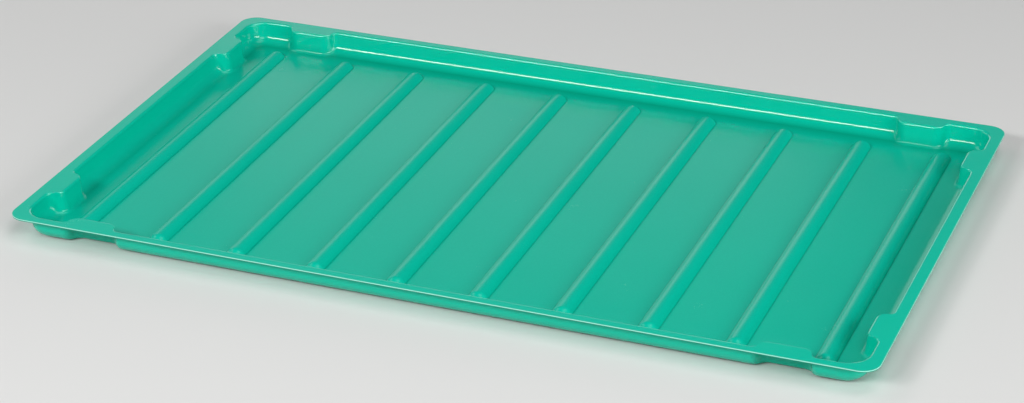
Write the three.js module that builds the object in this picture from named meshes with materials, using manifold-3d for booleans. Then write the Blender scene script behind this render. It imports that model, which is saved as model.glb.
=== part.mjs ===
// A thermoformed display tray: one sheet of plastic with a flat flange, low
// sloping walls, stacking lugs and raised ribs across its floor.
// Millimetres. X runs along the tray, Y across it and Z up. The origin is on
// the surface that the tray stands on, under the middle of the tray.

import * as THREE from 'three';
import { mergeVertices } from 'three/addons/utils/BufferGeometryUtils.js';
import Module from 'manifold-3d';

// Overall sizes
const trayLength = 530;
const trayWidth = 325;
const trayHeight = 15;
const sheetThickness = 1;

// Flange: the flat rim that is left where the sheet is trimmed
const endFlange = 6.8;
const sideFlange = 5.2;
const flangeCornerRadius = 11;

// Walls
const wallDraft = 6;            // degrees from upright
const openingCornerRadius = 15;
const rimRadius = 1.4;          // rolled edge between flange and wall, upper face
const wallFootRadius = 7.5;     // fillet between wall and floor, upper face
const lugFootRadius = 2.5;      // the same where a lug stands

// Stacking lugs: inward steps of the wall, two in each wall
const lugDepth = 8;
const sideLugWidth = 30;
const endLugWidth = 28;
const sideLugSetback = 53;      // lug centre to the end of the tray
const endLugSetback = 52;       // lug centre to the side of the tray
const lugNoseRadius = 5;
const lugRootRadius = 4;
const lugSlope = 80;            // steepest turn of a lug's flank, degrees
const straightShare = 0.05;     // least part of a lug's depth that its flank runs straight

// Floor ribs: raised half rounds with domed ends
const ribCount = 10;
const ribHeight = 4;
const ribRadius = 6.5;          // of the upper face
const sideRibGap = 5.3;         // floor left between the ribs' ends and the side lugs
const endRibGap = 9.2;          // floor left between the outer ribs and the end lugs

// Fineness of the faceted surfaces
const lugArcSteps = 3;
const cornerSteps = 6;
const flangeSteps = 4;
const rimSteps = 2;
const footSteps = 4;
const ribSides = 20;
const ribCapSteps = 4;

const leastRadius = 0.4;        // where an offset or an inset would shrink an arc to nothing
const cutMargin = 2;            // how far a cutting body reaches past the tray

const halfLength = trayLength / 2;
const halfWidth = trayWidth / 2;
const wallAngle = THREE.MathUtils.degToRad(90 - wallDraft);
const wallArc = 1 - Math.cos(wallAngle);   // height of a 1 mm arc that turns flat into wall

const wasm = await Module();
wasm.setup();

// ---------------------------------------------------------------- wall section
// The sheet has an upper face (offset 0) and an under face (offset equal to
// the sheet), which share the same arc centres.

function wallSection(offset, footRadius) {
  const rim = Math.max(rimRadius - offset, leastRadius);
  const rimTop = trayHeight - offset;
  const rimEnd = rimTop - rim * wallArc;
  const floor = sheetThickness - offset;
  const foot = Math.min(footRadius + offset, (rimEnd - floor) / wallArc);
  const footStart = floor + foot * wallArc;
  return { rim, rimTop, rimEnd, floor, foot, footStart };
}

// Distance of the section from the flange's inner line, at height z
function wallInset(section, z) {
  const { rim, rimTop, rimEnd, floor, foot, footStart } = section;
  if (z >= rimTop) return 0;
  if (z >= rimEnd) return rim * Math.sin(Math.acos(1 - (rimTop - z) / rim));
  const slope = 1 / Math.tan(wallAngle);
  const top = rim * Math.sin(wallAngle);
  if (z >= footStart) return top + (rimEnd - z) * slope;
  const bottom = top + (rimEnd - footStart) * slope + foot * Math.sin(wallAngle);
  return bottom - foot * Math.sin(Math.acos(1 - (z - floor) / foot));
}

// Heights at which the section's arcs are cut into steps
function sectionHeights(section) {
  const { rim, rimTop, rimEnd, floor, foot, footStart } = section;
  const heights = [rimTop, rimEnd, footStart, floor];
  for (let i = 1; i < rimSteps; i++) {
    heights.push(rimTop - rim * (1 - Math.cos(wallAngle * i / rimSteps)));
  }
  for (let i = 1; i < footSteps; i++) {
    heights.push(floor + foot * (1 - Math.cos(wallAngle * i / footSteps)));
  }
  return heights;
}

// ---------------------------------------------------------------- plan outline

function arcPoints(x, y, radius, from, to, steps) {
  return new THREE.EllipseCurve(x, y, radius, radius, from, to, to < from).getPoints(steps);
}

// A lug in its wall's own plan: x along the wall, y inwards, centred on x = 0
function lugOutline(protrusion, width, noseRadius, rootRadius) {
  const steepest = THREE.MathUtils.degToRad(lugSlope);
  const nose = Math.min(noseRadius, 0.45 * width);
  const both = nose + rootRadius;
  const curved = (1 - straightShare) * protrusion;
  const turn = Math.min(steepest, Math.acos(Math.max(0, 1 - curved / both)));
  const flank = (protrusion - both * (1 - Math.cos(turn))) / Math.sin(turn);
  const middle = -width / 2;
  const rootX = middle - rootRadius * Math.sin(turn) - flank / 2 * Math.cos(turn);
  const noseX = middle + nose * Math.sin(turn) + flank / 2 * Math.cos(turn);
  const down = -Math.PI / 2;
  const up = Math.PI / 2;
  const half = [
    ...arcPoints(rootX, rootRadius, rootRadius, down, down + turn, lugArcSteps),
    ...arcPoints(noseX, protrusion - nose, nose, up + turn, up, lugArcSteps),
  ];
  const mirrored = half.map((p) => new THREE.Vector2(-p.x, p.y)).reverse();
  return [...half, ...mirrored];
}

// The opening at one height, anticlockwise, from the wall's and the lugs' insets
function openingOutline(inset, lugInset, rootRadius) {
  const x = halfLength - endFlange - inset;
  const y = halfWidth - sideFlange - inset;
  const corner = Math.max(leastRadius, openingCornerRadius - inset);
  const nose = lugNoseRadius + lugInset;
  const protrusion = lugDepth + lugInset - inset;
  const endLug = lugOutline(protrusion, endLugWidth, nose, rootRadius);
  const sideLug = lugOutline(protrusion, sideLugWidth, nose, rootRadius);
  const quarter = [
    ...endLug.map((p) => new THREE.Vector2(x - p.y, halfWidth - endLugSetback + p.x)),
    ...arcPoints(x - corner, y - corner, corner, 0, Math.PI / 2, cornerSteps),
    ...sideLug.map((p) => new THREE.Vector2(halfLength - sideLugSetback - p.x, y - p.y)),
  ];
  const mirror = (sx, sy) => quarter.map((p) => new THREE.Vector2(sx * p.x, sy * p.y));
  return [...quarter, ...mirror(-1, 1).reverse(), ...mirror(-1, -1), ...mirror(1, -1).reverse()];
}

// ---------------------------------------------------------------- solids

function toSolid(geometry) {
  geometry.deleteAttribute('normal');
  geometry.deleteAttribute('uv');
  const merged = mergeVertices(geometry, 1e-5);
  const vertProperties = new Float32Array(merged.attributes.position.array);
  const triVerts = new Uint32Array(merged.index.array);
  return new wasm.Manifold(new wasm.Mesh({ numProp: 3, vertProperties, triVerts }));
}

function toGeometry(solid) {
  const mesh = solid.getMesh();
  const geometry = new THREE.BufferGeometry();
  geometry.setAttribute('position', new THREE.BufferAttribute(mesh.vertProperties, 3));
  geometry.setIndex(new THREE.BufferAttribute(mesh.triVerts, 1));
  geometry.computeVertexNormals();
  return geometry;
}

// A closed body through outlines that all have the same number of points,
// given from the lowest up
function loftBody(layers) {
  const count = layers[0].outline.length;
  const positions = layers.flatMap(({ z, outline }) => outline.flatMap((p) => [p.x, p.y, z]));
  const index = [];
  for (let k = 0; k + 1 < layers.length; k++) {
    for (let i = 0; i < count; i++) {
      const low = k * count + i;
      const lowNext = k * count + (i + 1) % count;
      index.push(low, lowNext, lowNext + count, low, lowNext + count, low + count);
    }
  }
  const lastLayer = (layers.length - 1) * count;
  for (const [a, b, c] of THREE.ShapeUtils.triangulateShape(layers[0].outline, [])) {
    index.push(a, c, b);
  }
  for (const [a, b, c] of THREE.ShapeUtils.triangulateShape(layers.at(-1).outline, [])) {
    index.push(lastLayer + a, lastLayer + b, lastLayer + c);
  }
  const geometry = new THREE.BufferGeometry();
  geometry.setAttribute('position', new THREE.Float32BufferAttribute(positions, 3));
  geometry.setIndex(index);
  return geometry;
}

// The body that fills the tray up to one face of the sheet, closed at z = top
function bowlBody(offset, top) {
  const wall = wallSection(offset, wallFootRadius);
  const lug = wallSection(offset, lugFootRadius);
  const root = lugRootRadius + offset;
  const heights = new Set([...sectionHeights(wall), lug.footStart, top]);
  const layers = [...heights].sort((a, b) => a - b).map((z) => {
    return { z, outline: openingOutline(wallInset(wall, z), wallInset(lug, z), root) };
  });
  return toSolid(loftBody(layers));
}

function flangeBody() {
  const shape = new THREE.Shape();
  const r = flangeCornerRadius;
  shape.absarc(halfLength - r, halfWidth - r, r, 0, Math.PI / 2);
  shape.absarc(r - halfLength, halfWidth - r, r, Math.PI / 2, Math.PI);
  shape.absarc(r - halfLength, r - halfWidth, r, Math.PI, 1.5 * Math.PI);
  shape.absarc(halfLength - r, r - halfWidth, r, 1.5 * Math.PI, 2 * Math.PI);
  const plate = new THREE.ExtrudeGeometry(shape, {
    depth: sheetThickness,
    bevelEnabled: false,
    curveSegments: flangeSteps,
  });
  plate.translate(0, 0, trayHeight - sheetThickness);
  return toSolid(plate);
}

// All ribs as rods lying across the tray, sunk so that ribHeight stands above the floor
function ribRods(offset) {
  const axisZ = sheetThickness + ribHeight - ribRadius;
  const halfBase = Math.sqrt(ribRadius ** 2 - (ribRadius - ribHeight) ** 2);
  const lugReach = lugDepth + wallInset(wallSection(0, lugFootRadius), sheetThickness);
  const lastDomeY = halfWidth - sideFlange - lugReach - sideRibGap - halfBase;
  const lastRibX = halfLength - endFlange - lugReach - endRibGap - halfBase;
  const radius = ribRadius - offset;
  const pitch = 2 * lastRibX / (ribCount - 1);
  const rods = [];
  for (let i = 0; i < ribCount; i++) {
    const rod = new THREE.CapsuleGeometry(radius, 2 * lastDomeY, ribCapSteps, ribSides);
    rod.translate(i * pitch - lastRibX, 0, axisZ);
    rods.push(toSolid(rod));
  }
  return wasm.Manifold.union(rods);
}

function trayShell() {
  const blank = flangeBody().add(bowlBody(sheetThickness, trayHeight - sheetThickness / 2));
  const inside = bowlBody(0, trayHeight + cutMargin).subtract(ribRods(0));
  return blank.subtract(inside).subtract(ribRods(sheetThickness));
}

const plastic = new THREE.MeshStandardMaterial({ color: 0x18b08c, roughness: 0.38, metalness: 0 });
const shell = new THREE.Mesh(toGeometry(trayShell()), plastic);
shell.name = 'tray_shell';

const tray = new THREE.Group();
tray.add(shell);

export default tray;
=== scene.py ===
from math import acos, atan2, cos, pi, radians, sin, sqrt, tan

import bmesh
import bpy
from mathutils import Matrix, Vector


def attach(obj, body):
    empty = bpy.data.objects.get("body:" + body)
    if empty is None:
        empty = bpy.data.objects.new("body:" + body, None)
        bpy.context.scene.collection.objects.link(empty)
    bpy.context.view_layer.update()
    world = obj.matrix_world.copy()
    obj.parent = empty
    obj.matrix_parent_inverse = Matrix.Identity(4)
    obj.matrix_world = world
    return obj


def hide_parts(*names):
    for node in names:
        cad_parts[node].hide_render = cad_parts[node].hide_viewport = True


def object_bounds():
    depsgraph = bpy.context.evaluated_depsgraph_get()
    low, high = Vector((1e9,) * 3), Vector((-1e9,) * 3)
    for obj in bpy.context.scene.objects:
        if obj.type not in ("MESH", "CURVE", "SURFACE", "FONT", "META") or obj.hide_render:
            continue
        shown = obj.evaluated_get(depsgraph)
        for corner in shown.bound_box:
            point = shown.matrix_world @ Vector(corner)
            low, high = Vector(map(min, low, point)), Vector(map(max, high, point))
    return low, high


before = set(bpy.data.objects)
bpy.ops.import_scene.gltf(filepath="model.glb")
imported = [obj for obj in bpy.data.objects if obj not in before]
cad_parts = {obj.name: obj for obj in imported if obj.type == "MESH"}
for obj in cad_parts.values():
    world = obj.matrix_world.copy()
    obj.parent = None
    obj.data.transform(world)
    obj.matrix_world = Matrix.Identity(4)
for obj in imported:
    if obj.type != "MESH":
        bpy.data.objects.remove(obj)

cadLow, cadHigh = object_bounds()
mm = 0.001
scene = bpy.context.scene


# Camera

camera = {
    "lens": 97.0,
    "azimuth": 21.64,       # degrees round from the front
    "elevation": 26.79,
    "roll": -0.66,
    "distance": 1.647,      # metres from the aim point
    "aimX": 9.9 * mm,       # aim point, from the middle of the flange's top
    "aimY": -40.0 * mm,
    "farthest": 50,         # metres to the end of what the camera shows
}


def makeCamera():
    azimuth = radians(camera["azimuth"])
    elevation = radians(camera["elevation"])
    roll = radians(camera["roll"])
    back = Vector((sin(azimuth) * cos(elevation), -cos(azimuth) * cos(elevation), sin(elevation)))
    right = Vector((cos(azimuth), sin(azimuth), 0))
    up = back.cross(right)
    tiltedRight = right * cos(roll) + up * sin(roll)
    tiltedUp = up * cos(roll) - right * sin(roll)
    middle = (cadLow + cadHigh) / 2
    aim = Vector((middle.x + camera["aimX"], middle.y + camera["aimY"], cadHigh.z))
    data = bpy.data.cameras.new("camera")
    data.lens = camera["lens"]
    data.clip_end = camera["farthest"]
    viewer = bpy.data.objects.new("camera", data)
    turn = Matrix((tiltedRight, tiltedUp, back)).transposed().to_4x4()
    viewer.matrix_world = Matrix.Translation(aim + back * camera["distance"]) @ turn
    scene.collection.objects.link(viewer)
    scene.camera = viewer


makeCamera()
print("camera set")


# Shader helper: a socket that adds its Math nodes where an expression uses it

class Wire:
    def __init__(self, tree, socket=None):
        self.tree = tree
        self.socket = socket

    def make(self, kind, settings, inputs, output=0):
        node = self.tree.nodes.new(kind)
        for name, value in settings.items():
            setattr(node, name, value)
        for name, value in inputs.items():
            if isinstance(value, Wire):
                self.tree.links.new(value.socket, node.inputs[name])
            else:
                node.inputs[name].default_value = value
        return Wire(self.tree, node.outputs[output])

    def math(self, operation, first, second):
        return self.make("ShaderNodeMath", {"operation": operation}, {0: first, 1: second})

    def __add__(self, other):
        return self.math("ADD", self, other)

    def __radd__(self, other):
        return self.math("ADD", other, self)

    def __sub__(self, other):
        return self.math("SUBTRACT", self, other)

    def __rsub__(self, other):
        return self.math("SUBTRACT", other, self)

    def __mul__(self, other):
        return self.math("MULTIPLY", self, other)

    def __rmul__(self, other):
        return self.math("MULTIPLY", other, self)

    def most(self, other):
        return self.math("MAXIMUM", self, other)

    def size(self):
        return self.math("ABSOLUTE", self, 0)

    def part(self, axis):
        return self.make("ShaderNodeSeparateXYZ", {}, {0: self}, axis)

    def clamp(self):
        return self.make("ShaderNodeClamp", {}, {0: self})

    # a Mix node has its colours in sockets 6 and 7 and its blended colour in output 2
    def blend(self, fromColor, toColor):
        choice = {"data_type": "RGBA"}
        return self.make("ShaderNodeMix", choice, {0: self, 6: fromColor, 7: toColor}, 2)


def startMaterial(name):
    material = bpy.data.materials.new(name)
    material.use_nodes = True
    return material, material.node_tree.nodes["Principled BSDF"]


def feed(shader, sockets):
    for name, wire in sockets.items():
        wire.tree.links.new(wire.socket, shader.inputs[name])


halfLength = (cadHigh.x - cadLow.x) / 2
halfWidth = (cadHigh.y - cadLow.y) / 2
top = cadHigh.z


# Green plastic: satin where the sheet lies flat, glossier where it is drawn

plastic = {
    "green": (0.0006, 0.51, 0.365, 1),
    "deepGreen": (0.0004, 0.42, 0.29, 1),
    "wallPaintedLightGreen": (0.0006, 0.53, 0.365, 1),    # painted light: lighter, for the light that passes through the stretched-out sheet
    # painted shade at the foot of the walls and on the floor beside them
    "footPaintedShadeGreen": (0.0003, 0.31, 0.2, 1),
    "creaseGreen": (0.0002, 0.16, 0.1, 1),    # tight creases, where light hardly reaches
    "cutPaintedHighlightGreen": (0.33, 0.78, 0.64, 1),        # painted highlight on the upper half of the trimmed edge
    "creaseShare": 0.35,
    "footShadeReach": 12 * mm,                     # how far the foot's painted shade fades into the floor
    "endFootShadeShare": 0.3,
    "specular": 0.3,
    "satin": 0.25,
    "glossy": 0.1,
    "cut": 0.5,
    "polish": 0.07,
    "cloudsPerMetre": 9,
    "cloudShare": 0.4,
    "specksPerMetre": 800,
    "smudgesPerMetre": 38,
    "smudgeSheen": 0.1,
    "grainPerMetre": 1100,
    "grainSheen": 0.05,
    "grainDepth": 0.005 * mm,
    "wavesPerMetre": 26,
    "waveDepth": 0.012 * mm,
    "drawnSmooth": 0.8,                       # share of the uneven sheen lost where drawn
    "drawnGrainLoss": 0.6,                    # share of the grain's depth lost there
}


def noise(place, scale, detail, rough=0.5):
    sockets = {"Vector": place, "Scale": scale, "Detail": detail, "Roughness": rough}
    return place.make("ShaderNodeTexNoise", {}, sockets)


def attribute(start, name):
    return start.make("ShaderNodeAttribute", {"attribute_name": name}, {}, "Fac")


def plasticColor(start, place):
    thin = attribute(start, "thin")
    x = place.part("X").size()
    y = place.part("Y").size()
    # painted shade along the foot of the walls, fading out across the floor near them
    nearSides = (1 - (floorHalfWidth - y) * (1 / plastic["footShadeReach"])).clamp()
    nearEnds = (1 - (floorHalfLength - x) * (1 / plastic["footShadeReach"])).clamp()
    foot = attribute(start, "foot") * nearSides.most(nearEnds * plastic["endFootShadeShare"])
    crease = attribute(start, "crease") * plastic["creaseShare"]
    cloud = noise(place, plastic["cloudsPerMetre"], detail=4) * plastic["cloudShare"]
    speck = noise(place, plastic["specksPerMetre"], detail=2) * (1 - plastic["cloudShare"])
    body = (cloud + speck).blend(plastic["deepGreen"], plastic["green"])
    # painted light: walls and flange are lightened for light coming through the sheet
    body = thin.blend(body, plastic["wallPaintedLightGreen"])
    body = foot.blend(body, plastic["footPaintedShadeGreen"])
    # painted shade in tight creases and on the edge's lower half
    body = crease.blend(body, plastic["creaseGreen"])
    # painted highlight on the upper half of the trimmed edge
    return attribute(start, "cutEdge").blend(body, plastic["cutPaintedHighlightGreen"])


def makePlastic():
    material, shader = startMaterial("green_sheet_plastic")
    start = Wire(material.node_tree)
    place = start.make("ShaderNodeTexCoord", {}, {}, "Object")
    drawn = attribute(start, "drawn")
    cut = attribute(start, "cutEdge")
    smudge = noise(place, plastic["smudgesPerMetre"], detail=6, rough=0.62)
    grain = noise(place, plastic["grainPerMetre"], detail=3, rough=0.6)
    waves = noise(place, plastic["wavesPerMetre"], detail=1)

    uneven = (smudge - 0.5) * plastic["smudgeSheen"] + (grain - 0.5) * plastic["grainSheen"]
    roughness = plastic["satin"] + (plastic["glossy"] - plastic["satin"]) * drawn
    roughness = roughness + uneven * (1 - plastic["drawnSmooth"] * drawn)
    roughness = roughness + (plastic["cut"] - plastic["satin"]) * cut
    waveBump = start.make(
        "ShaderNodeBump", {}, {"Height": waves, "Distance": plastic["waveDepth"], "Strength": 1})
    grainHeight = grain * (1 - plastic["drawnGrainLoss"] * drawn)
    grainBump = start.make(
        "ShaderNodeBump", {},
        {"Height": grainHeight, "Distance": plastic["grainDepth"], "Strength": 1, "Normal": waveBump})
    feed(shader, {
        "Base Color": plasticColor(start, place),
        "Roughness": roughness.clamp(),
        "Coat Weight": attribute(start, "polished"),
        "Normal": grainBump,
    })
    shader.inputs["Specular IOR Level"].default_value = plastic["specular"]
    shader.inputs["Coat Roughness"].default_value = plastic["polish"]
    return material


# The tray's own shape, in the same sizes as its solid

tray = {
    "sheet": 1.0 * mm,
    "endFlange": 6.8 * mm,
    "sideFlange": 5.2 * mm,
    "flangeCorner": 11 * mm,
    "openingCorner": 15 * mm,
    "draft": 6,                 # degrees from upright
    "rimRadius": 1.4 * mm,
    "wallFoot": 7.5 * mm,
    "lugFoot": 2.5 * mm,
    "lugDepth": 8 * mm,
    "sideLugWidth": 30 * mm,
    "endLugWidth": 28 * mm,
    "sideLugSetback": 53 * mm,
    "endLugSetback": 52 * mm,
    "lugNose": 5 * mm,
    "lugRoot": 4 * mm,
    "lugSlope": 80,             # steepest turn of a lug's flank, degrees
    "lugCurvedShare": 0.95,     # the rest of a lug's depth is its straight flank
    "leastRadius": 0.4 * mm,
    "trimBevel": 0.12 * mm,
    "trimHold": 0.5 * mm,       # flat ring that keeps the bevel's shading off the flange
    "weld": 0.001 * mm,         # points closer than this become one
    "flangePaintedThroughLight": 0.6,          # the flange's share of the wall's painted light
    "edgeShade": 2,             # how dark the painted shade on the edge's lower half is, creases being 1
    "drawnFrom": 0.2,           # where up the fillet the gloss starts
    "drawnFull": 0.7,
    "footShadeFade": 1.5,
    "glintFrom": 0.6,           # faintly polished band in the fillet
    "glintTo": 0.95,
    "glint": 0.2,
    "lugSteps": 9,
    "cornerSteps": 16,
    "rimSteps": 7,
    "wallSteps": 3,
    "footSteps": 12,
}
wallAngle = radians(90 - tray["draft"])
wallArc = 1 - cos(wallAngle)


def arc(x, y, radius, start, end, steps):
    turns = [start + (end - start) * i / steps for i in range(steps + 1)]
    return [(x + radius * cos(turn), y + radius * sin(turn)) for turn in turns]


# Radii and heights of one face of the sheet; offset 0 is the upper face
def wallSection(offset, footRadius):
    rim = max(tray["leastRadius"], tray["rimRadius"] - offset)
    rimTop = top - offset
    floor = tray["sheet"] - offset
    foot = footRadius + offset
    rimEnd = rimTop - rim * wallArc
    footStart = floor + foot * wallArc
    return rim, rimTop, rimEnd, floor, foot, footStart


def wallInset(section, z):
    rim, rimTop, rimEnd, floor, foot, footStart = section
    if z >= rimTop:
        return 0
    if z >= rimEnd:
        return rim * sin(acos(max(-1, 1 - (rimTop - z) / rim)))
    rimReach = rim * sin(wallAngle)
    if z >= footStart:
        return rimReach + (rimEnd - z) / tan(wallAngle)
    reach = rimReach + (rimEnd - footStart) / tan(wallAngle) + foot * sin(wallAngle)
    return reach - foot * sin(acos(min(1, 1 - (z - floor) / foot)))


floorReach = wallInset(wallSection(0, tray["wallFoot"]), tray["sheet"])
floorHalfLength = halfLength - tray["endFlange"] - floorReach
floorHalfWidth = halfWidth - tray["sideFlange"] - floorReach


def sectionHeights(section):
    rim, rimTop, rimEnd, floor, foot, footStart = section
    rimSteps, wallSteps, footSteps = tray["rimSteps"], tray["wallSteps"], tray["footSteps"]
    heights = [rimTop - rim * (1 - cos(wallAngle * i / rimSteps)) for i in range(rimSteps + 1)]
    heights += [rimEnd + (footStart - rimEnd) * i / wallSteps for i in range(1, wallSteps)]
    heights += [floor + foot * (1 - cos(wallAngle * i / footSteps)) for i in range(footSteps, -1, -1)]
    return heights


# One lug in plan: along the wall and inwards from it
def lugOutline(depth, width, nose, root):
    steepest = radians(tray["lugSlope"])
    turn = min(steepest, acos(max(0, 1 - tray["lugCurvedShare"] * depth / (nose + root))))
    flank = (depth - (nose + root) * (1 - cos(turn))) / sin(turn)
    rootX = -width / 2 - root * sin(turn) - flank / 2 * cos(turn)
    noseX = -width / 2 + nose * sin(turn) + flank / 2 * cos(turn)
    half = arc(rootX, root, root, -pi / 2, turn - pi / 2, tray["lugSteps"])
    half += arc(noseX, depth - nose, nose, turn + pi / 2, pi / 2, tray["lugSteps"])
    return half + [(-x, y) for x, y in reversed(half)]


def mirrorQuarter(quarter):
    loop = list(quarter)
    loop += [(-x, y) for x, y in reversed(quarter)]
    loop += [(-x, -y) for x, y in quarter]
    loop += [(x, -y) for x, y in reversed(quarter)]
    return loop


def openingOutline(inset, lugInset, root):
    x = halfLength - tray["endFlange"] - inset
    y = halfWidth - tray["sideFlange"] - inset
    corner = max(tray["leastRadius"], tray["openingCorner"] - inset)
    nose = tray["lugNose"] + lugInset
    depth = tray["lugDepth"] + lugInset - inset
    endLug = lugOutline(depth, tray["endLugWidth"], nose, root)
    sideLug = lugOutline(depth, tray["sideLugWidth"], nose, root)
    quarter = [(x - v, halfWidth - tray["endLugSetback"] + u) for u, v in endLug]
    quarter += arc(x - corner, y - corner, corner, 0, pi / 2, tray["cornerSteps"])
    quarter += [(halfLength - tray["sideLugSetback"] - u, y - v) for u, v in sideLug]
    return mirrorQuarter(quarter)


# The trimmed edge, with one point for each point of the opening
def trimOutline(inset):
    opening = openingOutline(0, 0, tray["lugRoot"])
    quarter = opening[:len(opening) // 4]
    lugPoints = 4 * (tray["lugSteps"] + 1)
    x = halfLength - inset
    y = halfWidth - inset
    corner = tray["flangeCorner"] - inset
    edge = [(x, v) for u, v in quarter[:lugPoints]]
    edge += arc(x - corner, y - corner, corner, 0, pi / 2, tray["cornerSteps"])
    edge += [(u, y) for u, v in quarter[-lugPoints:]]
    return mirrorQuarter(edge)


# Rings of one face, from the flange's inner line down to the floor
def faceRings(offset):
    wall = wallSection(offset, tray["wallFoot"])
    lug = wallSection(offset, tray["lugFoot"])
    root = tray["lugRoot"] + offset
    rings = []
    for z in sectionHeights(wall):
        outline = openingOutline(wallInset(wall, z), wallInset(lug, z), root)
        rings.append((outline, z))
    return rings


# Ribs: half-round, raised, with domed ends and a tight crease at the floor

rib = {
    "count": 10,
    "height": 4 * mm,
    "radius": 6.5 * mm,
    "crease": 0.3 * mm,
    "support": 0.6 * mm,
    "sideGap": 5.3 * mm,
    "endGap": 9.2 * mm,
    "crownSteps": 12,
    "creaseSteps": 5,
    "domeSteps": 18,
}


def ribProfile(offset):
    axisZ = tray["sheet"] + rib["height"] - rib["radius"]
    creaseZ = tray["sheet"] + rib["crease"]
    creaseX = sqrt((rib["radius"] + rib["crease"]) ** 2 - (creaseZ - axisZ) ** 2)
    join = atan2(creaseX, creaseZ - axisZ)
    crownRadius = rib["radius"] - offset
    creaseRadius = rib["crease"] + offset
    crown = [join * i / rib["crownSteps"] for i in range(rib["crownSteps"] + 1)]
    foot = [join * (1 - i / rib["creaseSteps"]) for i in range(1, rib["creaseSteps"] + 1)]
    profile = [(crownRadius * sin(turn), axisZ + crownRadius * cos(turn)) for turn in crown]
    profile += [(creaseX - creaseRadius * sin(turn), creaseZ - creaseRadius * cos(turn)) for turn in foot]
    return profile


def ribPlaces():
    section = wallSection(0, tray["lugFoot"])
    lugReach = tray["lugDepth"] + wallInset(section, tray["sheet"])
    drop = rib["radius"] - rib["height"]
    halfBase = sqrt(rib["radius"] ** 2 - drop ** 2)
    domeY = halfWidth - tray["sideFlange"] - lugReach - rib["sideGap"] - halfBase
    lastX = halfLength - tray["endFlange"] - lugReach - rib["endGap"] - halfBase
    pitch = 2 * lastX / (rib["count"] - 1)
    return [i * pitch - lastX for i in range(rib["count"])], domeY


def stadium(x, y, radius):
    steps = rib["domeSteps"]
    far = [(x + u, y + v) for u, v in arc(0, 0, radius, 0, pi, steps)]
    near = [(x + u, v - y) for u, v in arc(0, 0, radius, pi, 2 * pi, steps)]
    return far + near


class Skin:
    def __init__(self):
        self.mesh = bmesh.new()
        names = ("drawn", "thin", "foot", "crease", "polished", "cutEdge")
        self.layers = {name: self.mesh.verts.layers.float.new(name) for name in names}

    def ring(self, outline, z, **shares):
        verts = [self.mesh.verts.new((x, y, z)) for x, y in outline]
        for name, share in shares.items():
            for vert in verts:
                vert[self.layers[name]] = share
        return verts

    def bridge(self, first, second):
        for i in range(len(first)):
            j = (i + 1) % len(first)
            self.mesh.faces.new((first[i], first[j], second[j], second[i]))

    def strip(self, rings):
        for first, second in zip(rings, rings[1:]):
            self.bridge(first, second)

    # flat sheet between closed loops, the outer one and the holes
    def fill(self, loops):
        edges = []
        for loop in loops:
            for i, vert in enumerate(loop):
                edges.append(self.mesh.edges.get((vert, loop[(i + 1) % len(loop)])))
        bmesh.ops.triangle_fill(self.mesh, use_beauty=True, edges=edges)


# From the flange to the floor; upright is 1 on the wall and falls to 0 down its fillet
def addFace(skin, offset):
    rings = faceRings(offset)
    gloss = 1 / (tray["drawnFull"] - tray["drawnFrom"])
    verts = []
    for i, (outline, z) in enumerate(rings):
        upright = min(1, (len(rings) - 1 - i) / tray["footSteps"])
        drawn = min(1, max(0, (upright - tray["drawnFrom"]) * gloss)) if i > 0 else 0
        # painted light, full on the wall and fading down the fillet, with a share on the flange
        thin = upright if i > 1 else tray["flangePaintedThroughLight"]
        # painted shade, growing down the fillet towards the floor
        foot = (1 - upright) ** tray["footShadeFade"]
        polished = 0
        if 0 < i <= tray["rimSteps"]:
            polished = 1
        elif tray["glintFrom"] < upright < tray["glintTo"]:
            polished = tray["glint"]
        verts.append(skin.ring(outline, z, drawn=drawn, thin=thin, foot=foot, polished=polished))
    skin.strip(verts)
    return verts[0], verts[-1]


def addFloor(skin, offset, border):
    floorZ = tray["sheet"] - offset
    places, domeY = ribPlaces()
    holes = []
    for x in places:
        profile = ribProfile(offset)
        rings = []
        for i, (reach, z) in enumerate(profile):
            crease = 1 if i >= rib["crownSteps"] else 0
            # the floor round the ribs takes the foot's painted shade where it lies near the walls
            rings.append(skin.ring(stadium(x, domeY, reach), z, foot=1, crease=crease))
        support = skin.ring(stadium(x, domeY, profile[-1][0] + rib["support"]), floorZ, foot=1)
        skin.strip(rings + [support])
        holes.append(support)
    skin.fill([border] + holes)


# Each step round the edge is its inset, its height and how pale it is: the upper half is painted pale as
# a highlight on the cut, and the lower half gets painted shade
def addFlange(skin, upper, lower):
    bevel = tray["trimBevel"]
    soft = bevel * (1 - cos(pi / 4))
    under = top - tray["sheet"]
    middle = (top + under) / 2
    steps = [(bevel, top, 0.5), (soft, top - soft, 1), (0, top - bevel, 1), (0, middle, 0.8)]
    steps += [(0, middle - soft, 0), (0, under + bevel, 0), (soft, under + soft, 0), (bevel, under, 0)]
    hold = trimOutline(tray["trimHold"])
    rings = [upper, skin.ring(hold, top, thin=tray["flangePaintedThroughLight"])]
    for inset, z, pale in steps:
        shade = tray["edgeShade"] * (1 - pale)
        rings.append(skin.ring(trimOutline(inset), z, cutEdge=pale, crease=shade))
    rings += [skin.ring(hold, under, thin=tray["flangePaintedThroughLight"]), lower]
    skin.strip(rings)


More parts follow.
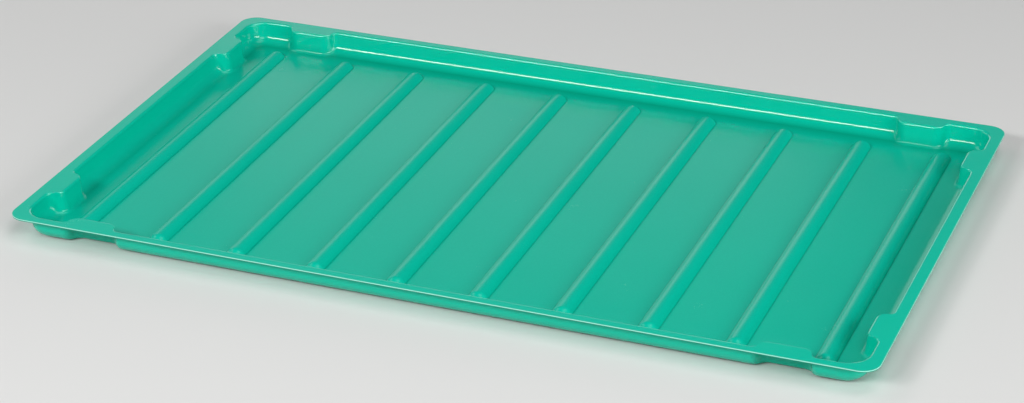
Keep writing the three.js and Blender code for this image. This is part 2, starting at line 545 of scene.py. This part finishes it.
def makeTray(material):
    skin = Skin()
    upperRim, upperFloor = addFace(skin, 0)
    lowerRim, lowerFloor = addFace(skin, tray["sheet"])
    addFlange(skin, upperRim, lowerRim)
    addFloor(skin, 0, upperFloor)
    addFloor(skin, tray["sheet"], lowerFloor)
    bmesh.ops.remove_doubles(skin.mesh, verts=skin.mesh.verts, dist=tray["weld"])
    bmesh.ops.recalc_face_normals(skin.mesh, faces=skin.mesh.faces)
    data = bpy.data.meshes.new("tray_skin")
    skin.mesh.to_mesh(data)
    skin.mesh.free()
    data.shade_smooth()
    data.materials.append(material)
    piece = bpy.data.objects.new("tray_skin", data)
    scene.collection.objects.link(piece)
    weighted = piece.modifiers.new("flat faces lead", "WEIGHTED_NORMAL")
    weighted.mode = "FACE_AREA"
    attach(piece, "root")
    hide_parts("tray_shell")
    return piece


piece = makeTray(makePlastic())
print("tray made,", len(piece.data.vertices), "points")


# Floor

ground = {"size": 8, "gap": 0.1 * mm, "color": (0.72, 0.72, 0.71, 1), "roughness": 0.65}


def makeGround():
    material, shader = startMaterial("pale_floor")
    shader.inputs["Base Color"].default_value = ground["color"]
    shader.inputs["Roughness"].default_value = ground["roughness"]
    half = ground["size"] / 2
    z = cadLow.z - ground["gap"]
    data = bpy.data.meshes.new("floor")
    corners = [(-half, -half, z), (half, -half, z), (half, half, z), (-half, half, z)]
    data.from_pydata(corners, [], [(0, 1, 2, 3)])
    data.materials.append(material)
    floor = bpy.data.objects.new("floor", data)
    scene.collection.objects.link(floor)


makeGround()
print("floor laid")


# Light: each lamp by its bearing round the tray, height angle, size and power

lampDistance = 2.2      # metres
lamps = {
    "front_strip": {"bearing": -22, "height": 33, "size": (1.15, 0.32), "watts": 28},
    "front_right": {"bearing": 40, "height": 45, "size": (1.0, 0.8), "watts": 10.5},
    "right_box": {"bearing": 68, "height": 22, "size": (1.0, 0.6), "watts": 19},
    "right_low": {"bearing": 92, "height": 11, "size": (1.2, 0.4), "watts": 8},
    "overhead": {"bearing": 90, "height": 72, "size": (1.3, 1.0), "watts": 9},
    "left_low": {"bearing": -92, "height": 8, "size": (1.8, 0.4), "watts": 6},
    "left_high": {"bearing": -90, "height": 45, "size": (1.3, 0.6), "watts": 6},
    "back_left": {"bearing": -136, "height": 15, "size": (0.95, 0.78), "watts": 1.8},
    "back": {"bearing": -159, "height": 15.5, "size": (0.8, 0.78), "watts": 2.0},
    "back_right": {"bearing": -177, "height": 13, "size": (0.7, 0.62), "watts": 1.0},
}


# Bearing 0 is in front of the tray and 90 on its right
def makeLamp(name, lamp):
    bearing, height = radians(lamp["bearing"]), radians(lamp["height"])
    away = Vector((sin(bearing) * cos(height), -cos(bearing) * cos(height), sin(height)))
    data = bpy.data.lights.new(name, "AREA")
    data.shape = "RECTANGLE"
    data.size, data.size_y = lamp["size"]
    data.energy = lamp["watts"]
    light = bpy.data.objects.new(name, data)
    light.rotation_mode = "QUATERNION"
    light.rotation_quaternion = away.to_track_quat("Z", "Y")
    light.location = away * lampDistance
    scene.collection.objects.link(light)


studio = {"color": (0.9, 0.95, 1, 1), "strength": 0.03}     # faint light from all round


def makeWorld():
    world = bpy.data.worlds.new("studio")
    world.use_nodes = True
    background = world.node_tree.nodes["Background"]
    background.inputs["Color"].default_value = studio["color"]
    background.inputs["Strength"].default_value = studio["strength"]
    scene.world = world


for name, lamp in lamps.items():
    makeLamp(name, lamp)
makeWorld()
scene.view_settings.view_transform = "Standard"
print("lights set")
